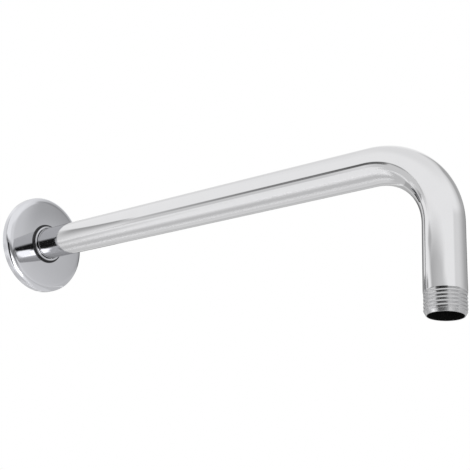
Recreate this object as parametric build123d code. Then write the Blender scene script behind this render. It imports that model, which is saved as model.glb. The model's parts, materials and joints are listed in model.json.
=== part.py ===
from build123d import *
import math
import os

# Driving dimensions in millimetres and degrees.

# Pipe thread: G 1/2, the crest diameter, and how far the tube's surface stands above the crests.
THREAD_OD = 20.955
THREAD_STEP = 0.1725
INLET_THREAD_LENGTH = 15.0
OUTLET_THREAD_LENGTH = 11.8

# The lead at each threaded end tapers down to a narrow rim around the bore.
LEAD_LENGTH = 2.0
END_RIM = 0.4

# Tube: wall thickness, distance from the wall plane to the drop's axis, centreline radius of the bend,
# and distance from the run's axis down to the outlet's end.
TUBE_WALL = 1.7
REACH = 305.0
BEND_RADIUS = 39.5
DROP = 86.5

# Wall rosette: outside diameter, sheet thickness and straight skirt, the radii of its edge and shoulder, the tilts
# at which the edge runs into the shoulder and the shoulder into the domed face, the hollow fillet between face
# and collar, the radius at which the collar curls in towards the tube, and the gap its lip leaves there.
FLANGE_OD = 67.0
SHEET = 0.8
SKIRT = 3.2
EDGE_RADIUS = 1.6
SHOULDER_RADIUS = 7.0
SHOULDER_TILT = 40.0
FACE_TILT = 4.0
COLLAR_FILLET = 0.6
CURL_RADIUS = 1.4
LIP_CLEARANCE = 0.35

# Rubber ring: section diameter, and its clearance on the tube, in the collar and behind the lip.
RING_SECTION = 1.2
GRIP_CLEARANCE = 0.05
SEAT_CLEARANCE = 0.05
LIP_SEAT_CLEARANCE = 0.05

# Radii that follow from the driving dimensions.
thread_r = THREAD_OD / 2
tube_r = thread_r + THREAD_STEP
bore_r = tube_r - TUBE_WALL
end_r = bore_r + END_RIM
ring_r = tube_r + GRIP_CLEARANCE + RING_SECTION / 2
collar_bore_r = ring_r + RING_SECTION / 2 + SEAT_CLEARANCE
collar_r = collar_bore_r + SHEET
curl_centre_r = collar_r - CURL_RADIUS
lip_r = tube_r + LIP_CLEARANCE

# The run lies along +X from the wall plane at X = 0. The drop points down.
bend_x = REACH - BEND_RADIUS
drop_top = -BEND_RADIUS
drop_thread_top = OUTLET_THREAD_LENGTH - DROP


def tube_section():
    """Ring section of the plain tube."""
    return Circle(tube_r) - Circle(bore_r)


def threaded_end(length):
    """A thread's body along +Z: its shoulder at Z = 0, its tapered end at Z = length."""
    section = Polyline(
        (bore_r, 0),
        (thread_r, 0),
        (thread_r, length - LEAD_LENGTH),
        (end_r, length),
        (bore_r, length),
        close=True,
    )
    return revolve(Plane.XZ * make_face(section), Axis.Z)


def make_arm_tube():
    """One tube: inlet thread behind the wall plane, straight run, quarter bend, drop and outlet thread."""
    inlet = Plane((0, 0, 0), x_dir=(0, 1, 0), z_dir=(-1, 0, 0)) * threaded_end(INLET_THREAD_LENGTH)
    run = extrude(Plane.YZ * tube_section(), bend_x)
    bend_axis = Axis((bend_x, 0, -BEND_RADIUS), (0, 1, 0))
    bend = revolve(Plane.YZ.offset(bend_x) * tube_section(), bend_axis, 90)
    drop_plane = Plane((REACH, 0, drop_top), x_dir=(1, 0, 0), z_dir=(0, 0, -1))
    drop = extrude(drop_plane * tube_section(), drop_top - drop_thread_top)
    outlet_plane = Plane((REACH, 0, drop_thread_top), x_dir=(1, 0, 0), z_dir=(0, 0, -1))
    outlet = outlet_plane * threaded_end(OUTLET_THREAD_LENGTH)
    return inlet + run + bend + drop + outlet


# Section of the rosette, in axial distance from the wall and radius. The edge's arc runs tangent into the
# shoulder's, and that into the face's, which is level where it meets the collar's fillet.
flange_r = FLANGE_OD / 2
shoulder_tilt = math.radians(SHOULDER_TILT)
face_tilt = math.radians(FACE_TILT)
edge_centre_r = flange_r - EDGE_RADIUS
shoulder_centre_x = SKIRT - (SHOULDER_RADIUS - EDGE_RADIUS) * math.cos(shoulder_tilt)
shoulder_centre_r = edge_centre_r - (SHOULDER_RADIUS - EDGE_RADIUS) * math.sin(shoulder_tilt)
face_root_r = collar_r + COLLAR_FILLET
face_radius = SHOULDER_RADIUS + (shoulder_centre_r - face_root_r) / math.sin(face_tilt)
face_centre_x = shoulder_centre_x - (face_radius - SHOULDER_RADIUS) * math.cos(face_tilt)
neck_x = face_centre_x + face_radius + COLLAR_FILLET
lip_x = neck_x + CURL_RADIUS
ring_x = lip_x - SHEET - LIP_SEAT_CLEARANCE - RING_SECTION / 2


def flange_skin(inset):
    """The rosette's surface from its rim to its lip, moved inwards by inset."""
    return [
        Line((0, flange_r - inset), (SKIRT, flange_r - inset)),
        CenterArc((SKIRT, edge_centre_r), EDGE_RADIUS - inset, SHOULDER_TILT, 90 - SHOULDER_TILT),
        CenterArc(
            (shoulder_centre_x, shoulder_centre_r),
            SHOULDER_RADIUS - inset,
            FACE_TILT,
            SHOULDER_TILT - FACE_TILT,
        ),
        CenterArc((face_centre_x, face_root_r), face_radius - inset, 0, FACE_TILT),
        CenterArc((neck_x, face_root_r), COLLAR_FILLET + inset, 180, 90),
        CenterArc((neck_x, curl_centre_r), CURL_RADIUS - inset, 0, 90),
        Line((lip_x - inset, curl_centre_r), (lip_x - inset, lip_r)),
    ]


def make_wall_flange():
    """Pressed rosette of even thickness, open at the wall, with its collar curled in around the tube."""
    rim = Line((0, flange_r), (0, flange_r - SHEET))
    lip = Line((lip_x, lip_r), (lip_x - SHEET, lip_r))
    section = make_face(Wire(flange_skin(0) + [lip] + flange_skin(SHEET) + [rim]))
    return revolve(Plane.XZ * section, Axis.X)


def make_flange_o_ring():
    """Round rubber ring between the tube and the collar, behind the lip."""
    section = Pos(ring_x, ring_r) * Circle(RING_SECTION / 2)
    return revolve(Plane.XZ * section, Axis.X)


os.makedirs("parts", exist_ok=True)
export_step(make_arm_tube(), "parts/arm_tube.step")
export_step(make_wall_flange(), "parts/wall_flange.step")
export_step(make_flange_o_ring(), "parts/flange_o_ring.step")
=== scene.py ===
import json
import math

import bmesh
import bpy
from mathutils import Matrix, Vector


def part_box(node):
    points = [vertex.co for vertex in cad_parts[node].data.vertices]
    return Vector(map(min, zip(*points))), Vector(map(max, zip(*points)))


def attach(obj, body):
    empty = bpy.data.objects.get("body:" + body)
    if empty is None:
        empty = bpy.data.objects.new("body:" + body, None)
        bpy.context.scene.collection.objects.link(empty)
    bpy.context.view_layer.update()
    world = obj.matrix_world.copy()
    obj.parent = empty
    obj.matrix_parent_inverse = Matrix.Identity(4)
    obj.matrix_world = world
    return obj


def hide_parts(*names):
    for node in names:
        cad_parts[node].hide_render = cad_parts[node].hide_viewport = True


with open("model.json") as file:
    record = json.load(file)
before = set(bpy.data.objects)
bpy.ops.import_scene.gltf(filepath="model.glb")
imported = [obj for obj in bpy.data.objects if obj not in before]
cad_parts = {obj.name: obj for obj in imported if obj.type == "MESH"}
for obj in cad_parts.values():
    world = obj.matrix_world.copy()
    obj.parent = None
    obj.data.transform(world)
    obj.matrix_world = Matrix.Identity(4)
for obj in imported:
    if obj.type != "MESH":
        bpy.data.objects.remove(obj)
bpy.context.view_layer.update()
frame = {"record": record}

# The arm is one length of brass tube with a half-inch pipe thread cut on each end.
# It is threaded while straight, bent cold through a quarter turn, then polished and chrome plated outside.
# The bore keeps its dark drawn metal.
arm_low, arm_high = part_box("arm_tube")
mounts = {mount["name"]: mount for mount in frame["record"]["mounts"]}
tube_radius = arm_high.z
thread_radius = mounts["wall_thread"]["dims"]["r_mm"] / 1000
inlet_end = arm_low.x
drop_axis = arm_high.x - tube_radius
drop_depth = -arm_low.z

TUBE_WALL = 0.0017
END_RIM = 0.0004
LEAD_LENGTH = 0.002
BEND_RADIUS = 0.0395
OUTLET_THREAD_LENGTH = 0.0118
bore_radius = tube_radius - TUBE_WALL
end_radius = bore_radius + END_RIM
bore_limit = bore_radius + END_RIM / 2

INCH = 0.0254
THREADS_PER_INCH = 14
THREAD_PITCH = INCH / THREADS_PER_INCH
THREAD_DEPTH = 0.00036
THREAD_RUN_OUT = THREAD_PITCH
THREAD_START = math.radians(156)

# How finely the mesh is divided: the sides round the tube and the gaps between its rings.
TUBE_SIDES = 128
RINGS_PER_PITCH = 16
RUN_RING_GAP = 0.006
BEND_RING_GAP = 0.001
BORE_RING_GAP = 0.002
thread_ring_gap = THREAD_PITCH / RINGS_PER_PITCH

# Places along the straight tube, measured from the wall plane.
quarter_turn = math.pi / 2
bend_start = drop_axis - BEND_RADIUS
drop_start = bend_start + BEND_RADIUS * quarter_turn
outlet_end = drop_start + drop_depth - BEND_RADIUS
outlet_shoulder = outlet_end - OUTLET_THREAD_LENGTH

# The straight tube's outline: place along it, radius, and the gap between rings up to the next corner.
outline = [
    (inlet_end, end_radius, thread_ring_gap),
    (inlet_end + LEAD_LENGTH, thread_radius, thread_ring_gap),
    (-THREAD_RUN_OUT, thread_radius, thread_ring_gap),
    (0, tube_radius, thread_ring_gap),
    (thread_ring_gap, tube_radius, RUN_RING_GAP),
    (bend_start, tube_radius, BEND_RING_GAP),
    (drop_start, tube_radius, BEND_RING_GAP),
    (outlet_shoulder - thread_ring_gap, tube_radius, thread_ring_gap),
    (outlet_shoulder, tube_radius, thread_ring_gap),
    (outlet_shoulder + THREAD_RUN_OUT, thread_radius, thread_ring_gap),
    (outlet_end - LEAD_LENGTH, thread_radius, thread_ring_gap),
    (outlet_end, end_radius, BORE_RING_GAP),
    (outlet_end, bore_radius, BORE_RING_GAP),
    (drop_start, bore_radius, BORE_RING_GAP),
    (bend_start, bore_radius, RUN_RING_GAP),
    (inlet_end, bore_radius, BORE_RING_GAP),
]


def line_to(shape, tip, along, radius, steps=1):
    """Carries an outline straight on from its last point, in equal steps, and returns its new last point."""
    start = tip.co.copy()
    end = Vector((along, 0, radius))
    for step in range(1, steps + 1):
        tip = bmesh.ops.extrude_vert_indiv(shape, verts=[tip])["verts"][0]
        tip.co = start.lerp(end, step / steps)
    return tip


SEAM_GAP = 1e-6


def turn_round(shape, sides):
    """Spins an outline once round the run's axis, closes its seam and makes its faces smooth."""
    bmesh.ops.spin(
        shape,
        geom=shape.verts[:] + shape.edges[:],
        cent=(0, 0, 0),
        axis=(1, 0, 0),
        angle=math.tau,
        steps=sides,
        use_merge=True,
    )
    bmesh.ops.remove_doubles(shape, verts=shape.verts[:], dist=SEAM_GAP)
    for face in shape.faces:
        face.smooth = True


arm = bmesh.new()
tip = arm.verts.new((outline[0][0], 0, outline[0][1]))
for (along, radius, gap), (next_along, next_radius, _) in zip(outline, outline[1:] + outline[:1]):
    steps = math.ceil(math.dist((along, radius), (next_along, next_radius)) / gap)
    tip = line_to(arm, tip, next_along, next_radius, steps)
turn_round(arm, TUBE_SIDES)

# Inside faces take the second material.
PLATED, BORE = 0, 1
for face in arm.faces:
    inside = all(math.hypot(vert.co.y, vert.co.z) < bore_limit for vert in face.verts)
    face.material_index = BORE if inside else PLATED


def groove(along, angle):
    """Share of the thread's depth cut away at a place: 0 on a crest, 1 at a root, on a right-hand helix."""
    phase = (along - outlet_shoulder) / THREAD_PITCH - (angle - THREAD_START) / math.tau
    return 0.5 - 0.5 * math.cos(math.tau * phase)


# The die runs out at the shoulder, so both threads reach full depth a little way from it.
for vert in arm.verts:
    along, y, z = vert.co
    radius = math.hypot(y, z)
    past_shoulder = max(-along, along - outlet_shoulder)
    if past_shoulder > 0 and radius > bore_limit:
        depth = THREAD_DEPTH * min(past_shoulder / THREAD_RUN_OUT, 1)
        crest = max(radius, thread_radius)
        scale = min((crest - depth * groove(along, math.atan2(z, y))) / radius, 1)
        vert.co.y = y * scale
        vert.co.z = z * scale

# Bending: each ring past the start of the bend turns about the bend's centre, then the drop runs straight on.
bend_centre = Vector((bend_start, 0, -BEND_RADIUS))
for vert in arm.verts:
    past_start = vert.co.x - bend_start
    if past_start > 0:
        turn = min(past_start / BEND_RADIUS, quarter_turn)
        straight = past_start - turn * BEND_RADIUS
        across = Vector((straight, vert.co.y, vert.co.z + BEND_RADIUS))
        vert.co = bend_centre + Matrix.Rotation(turn, 3, "Y") @ across

SHARP_ANGLE = math.radians(50)


def finish_mesh(shape, name):
    """Turns a shape's faces outwards, keeps its true corners sharp and makes it an object at the origin."""
    bmesh.ops.recalc_face_normals(shape, faces=shape.faces[:])
    for edge in shape.edges:
        edge.smooth = edge.calc_face_angle(0) < SHARP_ANGLE
    mesh = bpy.data.meshes.new(name)
    shape.to_mesh(mesh)
    shape.free()
    piece = bpy.data.objects.new(name, mesh)
    bpy.context.scene.collection.objects.link(piece)
    return piece


class Shade:
    """A shader socket. Arithmetic on it adds the Math node that works the sum out."""

    def __init__(self, tree, socket=None):
        self.tree = tree
        self.socket = socket

    def node(self, kind, settings=None, inputs=None, output=0):
        """Adds a node: its settings first, then a value or a link for each input."""
        made = self.tree.nodes.new(kind)
        for name, value in (settings or {}).items():
            setattr(made, name, value)
        for name, value in (inputs or {}).items():
            if isinstance(value, Shade):
                self.tree.links.new(value.socket, made.inputs[name])
            else:
                made.inputs[name].default_value = value
        return Shade(self.tree, made.outputs[output] if made.outputs else None)

    def maths(self, operation, *values):
        """Adds a Math node that works on these values."""
        return self.node("ShaderNodeMath", {"operation": operation}, dict(enumerate(values)))

    def __add__(self, other):
        return self.maths("ADD", self, other)

    def __radd__(self, other):
        return self.maths("ADD", other, self)

    def __sub__(self, other):
        return self.maths("SUBTRACT", self, other)

    def __rsub__(self, other):
        return self.maths("SUBTRACT", other, self)

    def __mul__(self, other):
        return self.maths("MULTIPLY", self, other)

    def __rmul__(self, other):
        return self.maths("MULTIPLY", other, self)


def new_material(name):
    """An empty node material and a Shade to build it with."""
    material = bpy.data.materials.new(name)
    material.use_nodes = True
    material.node_tree.nodes.clear()
    return material, Shade(material.node_tree)


def coordinate(shade, place, axis):
    """One coordinate of a place or a direction."""
    return shade.node("ShaderNodeSeparateXYZ", {}, {0: place}, output=axis)


def noise(shade, place, scale, detail):
    """Cloudy noise about a half, its scale in waves to the metre."""
    return shade.node("ShaderNodeTexNoise", {}, {"Vector": place, "Scale": scale, "Detail": detail})


def bumps(shade, height, strength, distance):
    """A normal that stands for small relief."""
    return shade.node("ShaderNodeBump", {}, {"Height": height, "Strength": strength, "Distance": distance})


MIX_FIRST, MIX_SECOND, MIX_RESULT = 6, 7, 2


def mix_colours(shade, share, first, second):
    """The first colour where share is 0, the second where it is 1. A colour is a triple or a socket."""
    sockets = {0: share}
    for socket, colour in ((MIX_FIRST, first), (MIX_SECOND, second)):
        sockets[socket] = colour if isinstance(colour, Shade) else (*colour, 1)
    return shade.node("ShaderNodeMix", {"data_type": "RGBA"}, sockets, output=MIX_RESULT)


def ramp(shade, value, start, end, first, last):
    """Runs smoothly from the first level to the last while the value goes from start to end."""
    settings = {"interpolation_type": "SMOOTHSTEP", "clamp": True}
    sockets = {"Value": value, "From Min": start, "From Max": end, "To Min": first, "To Max": last}
    return shade.node("ShaderNodeMapRange", settings, sockets)


def give_surface(shade, sockets):
    """Ends a material in one Principled shader with these sockets."""
    skin = shade.node("ShaderNodeBsdfPrincipled", {}, sockets)
    shade.node("ShaderNodeOutputMaterial", {}, {"Surface": skin})


POLISHED_ROUGHNESS = 0.03
HAZE_ROUGHNESS = 0.03
SCUFF_ROUGHNESS = 0.02
WAVE_HEIGHT = 0.00002


def chrome(name, bright, dull, wave_scale, rough_or_shaded_part, rough_or_shade_colour, added_roughness):
    """Polished chrome plate: a mirror with slow waves from polishing, a little haze and one rougher part in
    its own colour. On the rosette that colour is painted shade.
    """
    material, plate = new_material(name)
    place = plate.node("ShaderNodeTexCoord", output="Object")
    haze = noise(plate, place, scale=90, detail=4)
    scuffs = noise(plate, place, scale=2600, detail=2)
    waves = noise(plate, place, scale=wave_scale, detail=1)
    rough = rough_or_shaded_part(plate, place)
    polished = mix_colours(plate, haze, bright, dull)
    worn = POLISHED_ROUGHNESS + HAZE_ROUGHNESS * haze + SCUFF_ROUGHNESS * scuffs
    sockets = {
        "Base Color": mix_colours(plate, rough, polished, rough_or_shade_colour),
        "Metallic": 1,
        "Roughness": worn + added_roughness * rough,
        "Normal": bumps(plate, waves, strength=1, distance=WAVE_HEIGHT),
    }
    give_surface(plate, sockets)
    return material


DARK_METAL = (0.004, 0.004, 0.0045)
STAINED_METAL = (0.012, 0.0115, 0.011)


def drawn_metal(name):
    """The bore's dull dark metal, stained by the drawing lubricant."""
    material, wall = new_material(name)
    place = wall.node("ShaderNodeTexCoord", output="Object")
    stain = noise(wall, place, scale=400, detail=3)
    sockets = {
        "Base Color": mix_colours(wall, stain, DARK_METAL, STAINED_METAL),
        "Roughness": 0.6 + 0.3 * stain,
        "Normal": bumps(wall, stain, strength=0.3, distance=0.0001),
        "Specular IOR Level": 0.1,
    }
    give_surface(wall, sockets)
    return material


POLISH_EDGE = 0.0004


def cut_threads(plate, place):
    """1 on the threads, which are cut and plated but not polished, and 0 on the tube."""
    shoulder_level = OUTLET_THREAD_LENGTH - drop_depth
    inlet = ramp(plate, coordinate(plate, place, "X"), -POLISH_EDGE, 0, 1, 0)
    outlet = ramp(plate, coordinate(plate, place, "Z"), shoulder_level - POLISH_EDGE, shoulder_level, 1, 0)
    return inlet + outlet


arm_piece = finish_mesh(arm, "chromed_arm")
tube_chrome = chrome(
    "tube_chrome",
    bright=(0.79, 0.79, 0.8),
    dull=(0.765, 0.765, 0.778),
    wave_scale=28,
    rough_or_shaded_part=cut_threads,
    rough_or_shade_colour=(0.6, 0.6, 0.61),
    added_roughness=0.18,
)
arm_piece.data.materials.append(tube_chrome)
arm_piece.data.materials.append(drawn_metal("tube_bore"))
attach(arm_piece, "arm")
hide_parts("arm_tube")

# The ring is black rubber of round section, moulded in one piece.
# It sits behind the lip of the rosette's collar and grips the tube.
ring_low, ring_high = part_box("flange_o_ring")
ring_section = ring_high.x - ring_low.x
ring_middle = Vector(((ring_low.x + ring_high.x) / 2, 0, ring_high.z - ring_section / 2))
SECTION_SIDES = 24
RING_SIDES = 144
ring = bmesh.new()
upright = Matrix.Translation(ring_middle) @ Matrix.Rotation(quarter_turn, 4, "X")
bmesh.ops.create_circle(ring, segments=SECTION_SIDES, radius=ring_section / 2, matrix=upright)
turn_round(ring, RING_SIDES)


BLACK_RUBBER = (0.012, 0.012, 0.013)
PALE_GRAIN = (0.03, 0.03, 0.032)


def moulded_rubber(name):
    """Matt black rubber with a fine moulded grain."""
    material, rubber = new_material(name)
    place = rubber.node("ShaderNodeTexCoord", output="Object")
    grain = noise(rubber, place, scale=3000, detail=3)
    sockets = {
        "Base Color": mix_colours(rubber, grain, BLACK_RUBBER, PALE_GRAIN),
        "Roughness": 0.5 + 0.25 * grain,
        "Normal": bumps(rubber, grain, strength=0.4, distance=0.00004),
    }
    give_surface(rubber, sockets)
    return material


ring_piece = finish_mesh(ring, "rubber_ring")
ring_piece.data.materials.append(moulded_rubber("ring_rubber"))
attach(ring_piece, "seal")
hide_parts("flange_o_ring")

# The rosette is a cap pressed from thin sheet, with a skirt, a rounded shoulder, a low domed face
# and a collar that is curled in round the tube. It is polished and chrome plated,
# and slipped over the tube to hide the hole in the wall.
_, rosette_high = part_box("wall_flange")
rosette_radius = rosette_high.z
lip_along = rosette_high.x
SHEET = 0.0008
SKIRT = 0.0032
EDGE_RADIUS = 0.0016
SHOULDER_RADIUS = 0.007
SHOULDER_TILT = math.radians(40)
FACE_TILT = math.radians(4)
COLLAR_FILLET = 0.0006
LIP_CLEARANCE = 0.00035
SEAT_CLEARANCE = 0.00005
ROSETTE_SIDES = 192

# Centres of the outline's arcs, each by its place along the axis and its distance from it.
# The edge's arc runs into the shoulder's, that into the face's, that into the fillet's at the face's root,
# and the fillet's into the collar's curl.
edge_centre = (SKIRT, rosette_radius - EDGE_RADIUS)
edge_to_shoulder = SHOULDER_RADIUS - EDGE_RADIUS
shoulder_centre = (
    edge_centre[0] - edge_to_shoulder * math.cos(SHOULDER_TILT),
    edge_centre[1] - edge_to_shoulder * math.sin(SHOULDER_TILT),
)
collar_radius = ring_high.z + SEAT_CLEARANCE + SHEET
face_root = collar_radius + COLLAR_FILLET
face_to_shoulder = (shoulder_centre[1] - face_root) / math.sin(FACE_TILT)
face_centre = (shoulder_centre[0] - face_to_shoulder * math.cos(FACE_TILT), face_root)
neck_along = face_centre[0] + face_to_shoulder + SHOULDER_RADIUS + COLLAR_FILLET
fillet_centre = (neck_along, face_root)
curl_centre = (neck_along, collar_radius - (lip_along - neck_along))
lip_radius = tube_radius + LIP_CLEARANCE
edge_turn = quarter_turn - SHOULDER_TILT
shoulder_turn = SHOULDER_TILT - FACE_TILT


def arc_round(shape, tip, centre, angle, steps):
    """Carries an outline round an arc about a centre and returns its new last point."""
    along, radius = centre
    swept = bmesh.ops.spin(
        shape, geom=[tip], cent=(along, 0, radius), axis=(0, 1, 0), angle=angle, steps=steps
    )
    return next(item for item in swept["geom_last"] if isinstance(item, bmesh.types.BMVert))


# The outline runs from the rim over the outside to the lip, and back through the inside.
rosette = bmesh.new()
tip = rosette.verts.new((0, 0, rosette_radius))
tip = line_to(rosette, tip, SKIRT, rosette_radius)
tip = arc_round(rosette, tip, edge_centre, edge_turn, steps=14)
tip = arc_round(rosette, tip, shoulder_centre, shoulder_turn, steps=20)
tip = arc_round(rosette, tip, face_centre, FACE_TILT, steps=24)
tip = arc_round(rosette, tip, fillet_centre, -quarter_turn, steps=10)
tip = arc_round(rosette, tip, curl_centre, quarter_turn, steps=14)
tip = line_to(rosette, tip, lip_along, lip_radius)
tip = line_to(rosette, tip, lip_along - SHEET, lip_radius)
tip = line_to(rosette, tip, lip_along - SHEET, curl_centre[1])
tip = arc_round(rosette, tip, curl_centre, -quarter_turn, steps=8)
tip = arc_round(rosette, tip, fillet_centre, quarter_turn, steps=10)
tip = arc_round(rosette, tip, face_centre, -FACE_TILT, steps=16)
tip = arc_round(rosette, tip, shoulder_centre, -shoulder_turn, steps=12)
tip = arc_round(rosette, tip, edge_centre, -edge_turn, steps=8)
tip = line_to(rosette, tip, 0, rosette_radius - SHEET)
tip = line_to(rosette, tip, 0, rosette_radius)
turn_round(rosette, ROSETTE_SIDES)

# Soft edges, inside and outside, of the painted shade in the hollow round the collar.
HOLLOW_SHADE_INSIDE = 0.0009
HOLLOW_SHADE_OUTSIDE = 0.0004


def hollow_painted_shade(plate, place):
    """1 in the hollow round the collar, which is made rougher and painted dark as shade, and 0 elsewhere."""
    across = coordinate(plate, place, "Y")
    up = coordinate(plate, place, "Z")
    radius = plate.maths("SQRT", across * across + up * up)
    inner = ramp(plate, radius, collar_radius - HOLLOW_SHADE_INSIDE, collar_radius - HOLLOW_SHADE_INSIDE / 2, 0, 1)
    outer = ramp(plate, radius, face_root + HOLLOW_SHADE_OUTSIDE / 2, face_root + HOLLOW_SHADE_OUTSIDE, 1, 0)
    return inner * outer


rosette_piece = finish_mesh(rosette, "chromed_rosette")
# In the hollow round the collar the rosette's chrome is painted near black: painted shade where the collar
# meets the face.
sheet_chrome = chrome(
    "sheet_chrome",
    bright=(0.77, 0.776, 0.81),
    dull=(0.745, 0.751, 0.785),
    wave_scale=40,
    rough_or_shaded_part=hollow_painted_shade,
    rough_or_shade_colour=(0.06, 0.06, 0.063),
    added_roughness=0.15,
)
rosette_piece.data.materials.append(sheet_chrome)
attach(rosette_piece, "flange")
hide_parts("wall_flange")

# The floor is a wide sheet of pale paper, well below the arm, that takes its soft shadow.
# Like the rest of the studio it is painted darker in a reflection of a reflection: painted shade between
# chromed faces that mirror each other, beyond what the plate's own colour takes away.
scene = bpy.context.scene
scene.view_settings.view_transform = "Standard"
FLOOR_LEVEL = -0.36
FLOOR_SIZE = 4.0
PAPER_GREY = 0.82
PAPER_GLOW = 0.18
# The share of brightness kept at each further reflection, which paints shade between chromed faces.
SECOND_REFLECTION = 0.6


def place_sheet(name, size, place):
    """A flat rectangle of the stage, made about its own centre and then set in place."""
    width, length = size
    sheet = bmesh.new()
    bmesh.ops.create_grid(sheet, x_segments=1, y_segments=1, size=0.5)
    bmesh.ops.scale(sheet, vec=(width, length, 1), verts=sheet.verts[:])
    mesh = bpy.data.meshes.new(name)
    sheet.to_mesh(mesh)
    sheet.free()
    piece = bpy.data.objects.new(name, mesh)
    scene.collection.objects.link(piece)
    piece.matrix_world = place
    return piece


def level_at(x, y, z):
    """The place of a sheet that lies level, its width along X."""
    return Matrix.Translation((x, y, z))


def ray_is(shade, *kinds):
    """1 for rays of the named kinds, such as Camera or Glossy, and 0 for all others."""
    found = 0
    for kind in kinds:
        found = found + shade.node("ShaderNodeLightPath", output=f"Is {kind} Ray")
    return shade.maths("MINIMUM", found, 1)


def reflected_share(shade):
    """1 for what is seen directly or in one reflection, and less at each further one, as painted shade."""
    reflections = shade.node("ShaderNodeLightPath", output="Glossy Depth")
    return shade.maths("POWER", SECOND_REFLECTION, shade.maths("MAXIMUM", reflections - 1, 0))


floor_piece = place_sheet("floor", (FLOOR_SIZE, FLOOR_SIZE), level_at(0, 0, FLOOR_LEVEL))
floor_material, paper = new_material("floor_paper")
lit = paper.node("ShaderNodeBsdfDiffuse", {}, {"Color": (PAPER_GREY, PAPER_GREY, PAPER_GREY, 1)})
shine = PAPER_GLOW * ray_is(paper, "Camera", "Glossy", "Transmission")
glow = paper.node("ShaderNodeEmission", {}, {"Strength": shine})
pale = paper.node("ShaderNodeAddShader", {}, {0: lit, 1: glow})
dark = paper.node("ShaderNodeEmission", {}, {"Strength": 0})
seen = paper.node("ShaderNodeMixShader", {}, {0: reflected_share(paper), 1: dark, 2: pale})
paper.node("ShaderNodeOutputMaterial", {}, {"Surface": seen})
floor_piece.data.materials.append(floor_material)

# Chrome shows only what stands round it. These soft-edged cards, which only reflections see,
# stand for the dark room in front of the table, for dim screens and for bright patches of table.
# A tone of 0 is black and 1 is white, and a brighter card makes a highlight.


def soft_edge(shade, place, half, soft):
    """1 well inside a length, falling to 0 at its ends."""
    return ramp(shade, shade.maths("ABSOLUTE", place), half - soft, half, 1, 0)


def reflection_card(name, place, size, soft, tone, end_tone=None, front_only=False):
    """A soft-edged card that only reflections see. Its tone may run to another one across its width."""
    width, length = size
    card = place_sheet(name, size, place)
    material, paint = new_material(name)
    spot = paint.node("ShaderNodeTexCoord", output="Object")
    across = coordinate(paint, spot, "X")
    along = coordinate(paint, spot, "Y")
    cover = soft_edge(paint, across, width / 2, soft[0]) * soft_edge(paint, along, length / 2, soft[1])
    if front_only:
        cover = cover * (1 - paint.node("ShaderNodeNewGeometry", output="Backfacing"))
    if end_tone is not None:
        tone = ramp(paint, across, -width / 2, width / 2, tone, end_tone)
    glow = paint.node("ShaderNodeEmission", {}, {"Strength": tone * reflected_share(paint)})
    clear = paint.node("ShaderNodeBsdfTransparent")
    seen = paint.node("ShaderNodeMixShader", {}, {0: cover, 1: clear, 2: glow})
    paint.node("ShaderNodeOutputMaterial", {}, {"Surface": seen})
    card.data.materials.append(material)
    card.visible_camera = False
    card.visible_diffuse = False
    card.visible_transmission = False
    card.visible_shadow = False


def on_table_at(x, y, lift):
    """The place of a card on the table. Cards that overlap there lie at different lifts."""
    return level_at(x, y, FLOOR_LEVEL + lift)


def upright_at(x, y, z, heading=0):
    """The place of an upright card, its width along X and its front towards -Y, turned by a heading."""
    turned = Matrix.Rotation(math.radians(heading), 4, "Z") @ Matrix.Rotation(quarter_turn, 4, "X")
    return Matrix.Translation((x, y, z)) @ turned


def facing_wall_at(x, y, z, dip=0, roll=0):
    """The place of a card with its width upright and its front to the wall, then dipped and rolled."""
    dipped = Matrix.Rotation(-quarter_turn - math.radians(dip), 4, "Y")
    return Matrix.Translation((x, y, z)) @ Matrix.Rotation(math.radians(roll), 4, "X") @ dipped


def turned_flat(place, degrees):
    """The same place, with the card turned in its own plane."""
    return place @ Matrix.Rotation(math.radians(degrees), 4, "Z")


# The dark room in front of the table, and the dark edge of the table there.
ROOM_FRONT = -0.30
reflection_card(
    "dark_front",
    place=upright_at(drop_axis + 0.045, ROOM_FRONT, -0.20),
    size=(0.40, 0.50),
    soft=(0.03, 0.08),
    tone=0.02,
)
reflection_card(
    "dark_table",
    place=on_table_at(drop_axis + 0.045, -0.275, 0.004),
    size=(0.40, 0.12),
    soft=(0.03, 0.03),
    tone=0.1,
)

# The dark slot that draws the line along the run, paler towards the wall, and a dim screen just behind it.
# A small pale card by the bend hides the slot from the bend's inner side.
SCREEN_BEHIND = 0.004
reflection_card(
    "dark_slot",
    place=upright_at(drop_axis - 0.425, ROOM_FRONT, 0.007),
    size=(0.58, 0.10),
    soft=(0.05, 0.033),
    tone=1.0,
    end_tone=0.05,
)
reflection_card(
    "slot_shade",
    place=upright_at(drop_axis - 0.70, ROOM_FRONT - SCREEN_BEHIND, -0.07),
    size=(1.10, 0.14),
    soft=(0.10, 0.05),
    tone=0.70,
)
reflection_card(
    "by_bend",
    place=turned_flat(upright_at(drop_axis - 0.033, -0.022, -0.015), 45),
    size=(0.019, 0.019),
    soft=(0.003, 0.003),
    tone=0.70,
)

# Shade and a dark gap beside the rosette, just behind the wall plane.
WALL_BEHIND = -0.012
reflection_card(
    "wall_shade",
    place=facing_wall_at(WALL_BEHIND, -0.085, 0),
    size=(0.08, 0.11),
    soft=(0.012, 0.03),
    tone=0.95,
    end_tone=0.35,
)
reflection_card(
    "wall_dark",
    place=facing_wall_at(WALL_BEHIND, 0.064, 0.0155),
    size=(0.041, 0.06),
    soft=(0.004, 0.004),
    tone=0.05,
)

# The dim end of the room far behind the wall plane, and the table in front of it.
reflection_card(
    "far_left",
    place=facing_wall_at(-1.6, 0.15, -0.16),
    size=(0.70, 1.30),
    soft=(0.16, 0.30),
    tone=0.45,
)
reflection_card(
    "table_left",
    place=on_table_at(-1.1, 0, 0.011),
    size=(1.7, 1.3),
    soft=(0.30, 0.30),
    tone=0.62,
)

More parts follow.
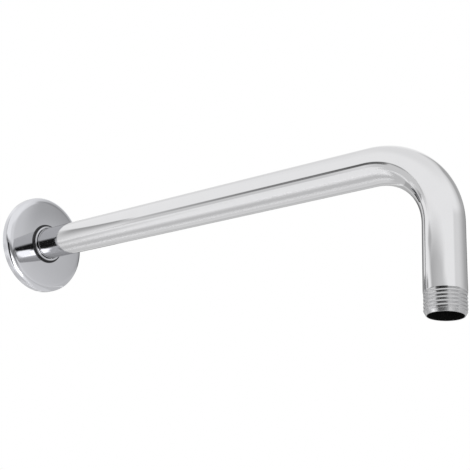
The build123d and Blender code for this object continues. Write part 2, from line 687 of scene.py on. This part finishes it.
# Two grey clouds in front of the run, almost level with its axis.
reflection_card(
    "grey_cloud",
    place=turned_flat(level_at(drop_axis - 0.075, -0.217, -0.0012), -25),
    size=(0.30, 0.30),
    soft=(0.06, 0.11),
    tone=0.48,
    end_tone=0.66,
)
reflection_card(
    "cloud_edge",
    place=level_at(drop_axis - 0.115, -0.088, -0.0002),
    size=(0.07, 0.07),
    soft=(0.025, 0.025),
    tone=0.55,
)

# The table's dim side past the drop, and a dim window high behind the arm.
reflection_card(
    "dark_side",
    place=on_table_at(drop_axis + 0.72, -0.35, 0.006),
    size=(0.9, 1.0),
    soft=(0.1, 0.1),
    tone=0.55,
)
reflection_card(
    "dark_window",
    place=upright_at(0.5, 0.573, 0.60, heading=139),
    size=(0.55, 0.76),
    soft=(0.12, 0.16),
    tone=0.45,
)

# One-sided cards that can be seen only from the wall's side: a dim one high beside the run,
# and two bright ones under it for the highlights on the rosette.
reflection_card(
    "beside_run",
    place=facing_wall_at(0.15, 0.205, 0.19),
    size=(0.21, 0.24),
    soft=(0.085, 0.09),
    tone=0.30,
    front_only=True,
)
reflection_card(
    "under_run",
    place=facing_wall_at(0.15, -0.053, -0.088, roll=-35),
    size=(0.05, 0.10),
    soft=(0.012, 0.02),
    tone=2.6,
    front_only=True,
)
reflection_card(
    "below_run",
    place=facing_wall_at(0.2, -0.05, -0.173, dip=20),
    size=(0.17, 0.14),
    soft=(0.034, 0.03),
    tone=3.0,
    front_only=True,
)

# A small bright card by the outlet for the glint on the thread's lead, and the bright table under it.
reflection_card(
    "by_outlet",
    place=upright_at(drop_axis - 0.012, -0.0165, -0.095, heading=-35),
    size=(0.008, 0.006),
    soft=(0.003, 0.002),
    tone=2.0,
)
reflection_card(
    "bright_table",
    place=on_table_at(drop_axis + 0.125, -0.09, 0.005),
    size=(0.26, 0.26),
    soft=(0.05, 0.05),
    tone=1.0,
)

# A painted shadow of the arm on the table below the run, and the table's dim far side.
reflection_card(
    "table_shade",
    place=on_table_at(-0.15, -0.02, 0.010),
    size=(0.9, 0.38),
    soft=(0.1, 0.17),
    tone=0.62,
)
reflection_card(
    "table_back",
    place=on_table_at(0.4, 0.55, 0.008),
    size=(3.2, 1.0),
    soft=(0.2, 0.2),
    tone=0.80,
    end_tone=0.62,
)
reflection_card(
    "table_end",
    place=on_table_at(0.4, 1.10, 0.009),
    size=(3.2, 1.2),
    soft=(0.2, 0.15),
    tone=0.60,
)

# The tent is white cloth all round, the plain background of the picture, and it lights the arm evenly.
# In reflections its walls are dimmer low in front, past the drop and behind the arm,
# and its roof is a little grey.
TENT_WHITE = 0.98
ROOF_TONE = 0.9
SOFT_LIGHT = 0.85
world = bpy.data.worlds.new("tent")
scene.world = world
world.use_nodes = True
world.node_tree.nodes.clear()
tent = Shade(world.node_tree)

# Bearing and height of the direction looked in, in degrees. Bearing 0 is along +X and 90 along +Y.
DEGREES = math.degrees(1)
looked_in = tent.node("ShaderNodeTexCoord", output="Generated")
along_x = coordinate(tent, looked_in, "X")
along_y = coordinate(tent, looked_in, "Y")
bearing = tent.maths("ARCTAN2", along_y, along_x) * DEGREES
height = tent.maths("ARCSINE", coordinate(tent, looked_in, "Z")) * DEGREES

# Each dim part is the share of white that it takes away.
front_wall = ramp(tent, bearing, -75, -60, 0, 1) * ramp(tent, bearing, 5, 20, 1, 0)
dim_front = front_wall * ramp(tent, height, 0, 10, 0.7, 0)
screen = ramp(tent, bearing, -20, -8, 0, 0.18) * ramp(tent, height, 22, 32, 1, 0)
far_end = (
    ramp(tent, bearing, 5, 68, 0, 1)
    * ramp(tent, height, 4, 17, 0.22, 0.38)
    * ramp(tent, height, 20, 30, 1, 1.15)
)
corner = ramp(tent, bearing, 72, 100, 0, 0.25) * ramp(tent, height, 10, 15, 0, 1)
opening = ramp(tent, bearing, 87, 102, 0, 1) * ramp(tent, height, 21, 31, 0, 1)
dim_right = (screen + (far_end + corner) * (1 - opening)) * ramp(tent, bearing, 142, 168, 1, 0)
dim_back = ramp(tent, bearing, 122, 140, 0, 0.15) * ramp(tent, bearing, 165, 180, 1, 0)
walls = (1 - dim_right) * (1 - dim_front) * (1 - dim_back)
roof = ramp(tent, height, 45, 75, 0, 1)
tent_tone = TENT_WHITE * (walls + roof * (ROOF_TONE - walls)) * reflected_share(tent)
lighting = SOFT_LIGHT + ray_is(tent, "Glossy") * (tent_tone - SOFT_LIGHT)
level = lighting + ray_is(tent, "Camera", "Transmission") * (1 - lighting)
background = tent.node("ShaderNodeBackground", {}, {"Color": (1, 1, 1, 1), "Strength": level})
tent.node("ShaderNodeOutputWorld", {}, {"Surface": background})

# One large soft lamp above the arm gives it its shadow on the floor.
# Reflections don't show the lamp itself.
LAMP_SIZE = 0.8
LAMP_POWER = 3
LAMP_PLACE = (0.12, -0.15, 1.1)
lamp = bpy.data.lights.new("overhead_lamp", "AREA")
lamp.shape = "DISK"
lamp.size = LAMP_SIZE
lamp.energy = LAMP_POWER
lamp_piece = bpy.data.objects.new("overhead_lamp", lamp)
lamp_piece.location = LAMP_PLACE
lamp_piece.visible_glossy = False
lamp_piece.visible_camera = False
scene.collection.objects.link(lamp_piece)

# The camera stands in front of the arm, lower than it and past its outlet.
# It is turned towards the wall, looks up and leans over a little.
CAMERA_PLACE = (0.4748, -0.3792, -0.2009)
CAMERA_HEADING = math.radians(38.365)
CAMERA_LOOK_UP = math.radians(20.23)
CAMERA_ROLL = math.radians(3.686)
CAMERA_LENS = 67.42
SENSOR_WIDTH = 36
NEAREST_SEEN = 0.01
camera_data = bpy.data.cameras.new("camera")
camera_data.lens = CAMERA_LENS
camera_data.sensor_width = SENSOR_WIDTH
camera_data.clip_start = NEAREST_SEEN
camera = bpy.data.objects.new("camera", camera_data)
aim = Matrix.Rotation(CAMERA_HEADING, 4, "Z") @ Matrix.Rotation(quarter_turn + CAMERA_LOOK_UP, 4, "X")
camera.matrix_world = Matrix.Translation(CAMERA_PLACE) @ aim @ Matrix.Rotation(CAMERA_ROLL, 4, "Z")
scene.collection.objects.link(camera)
scene.camera = camera
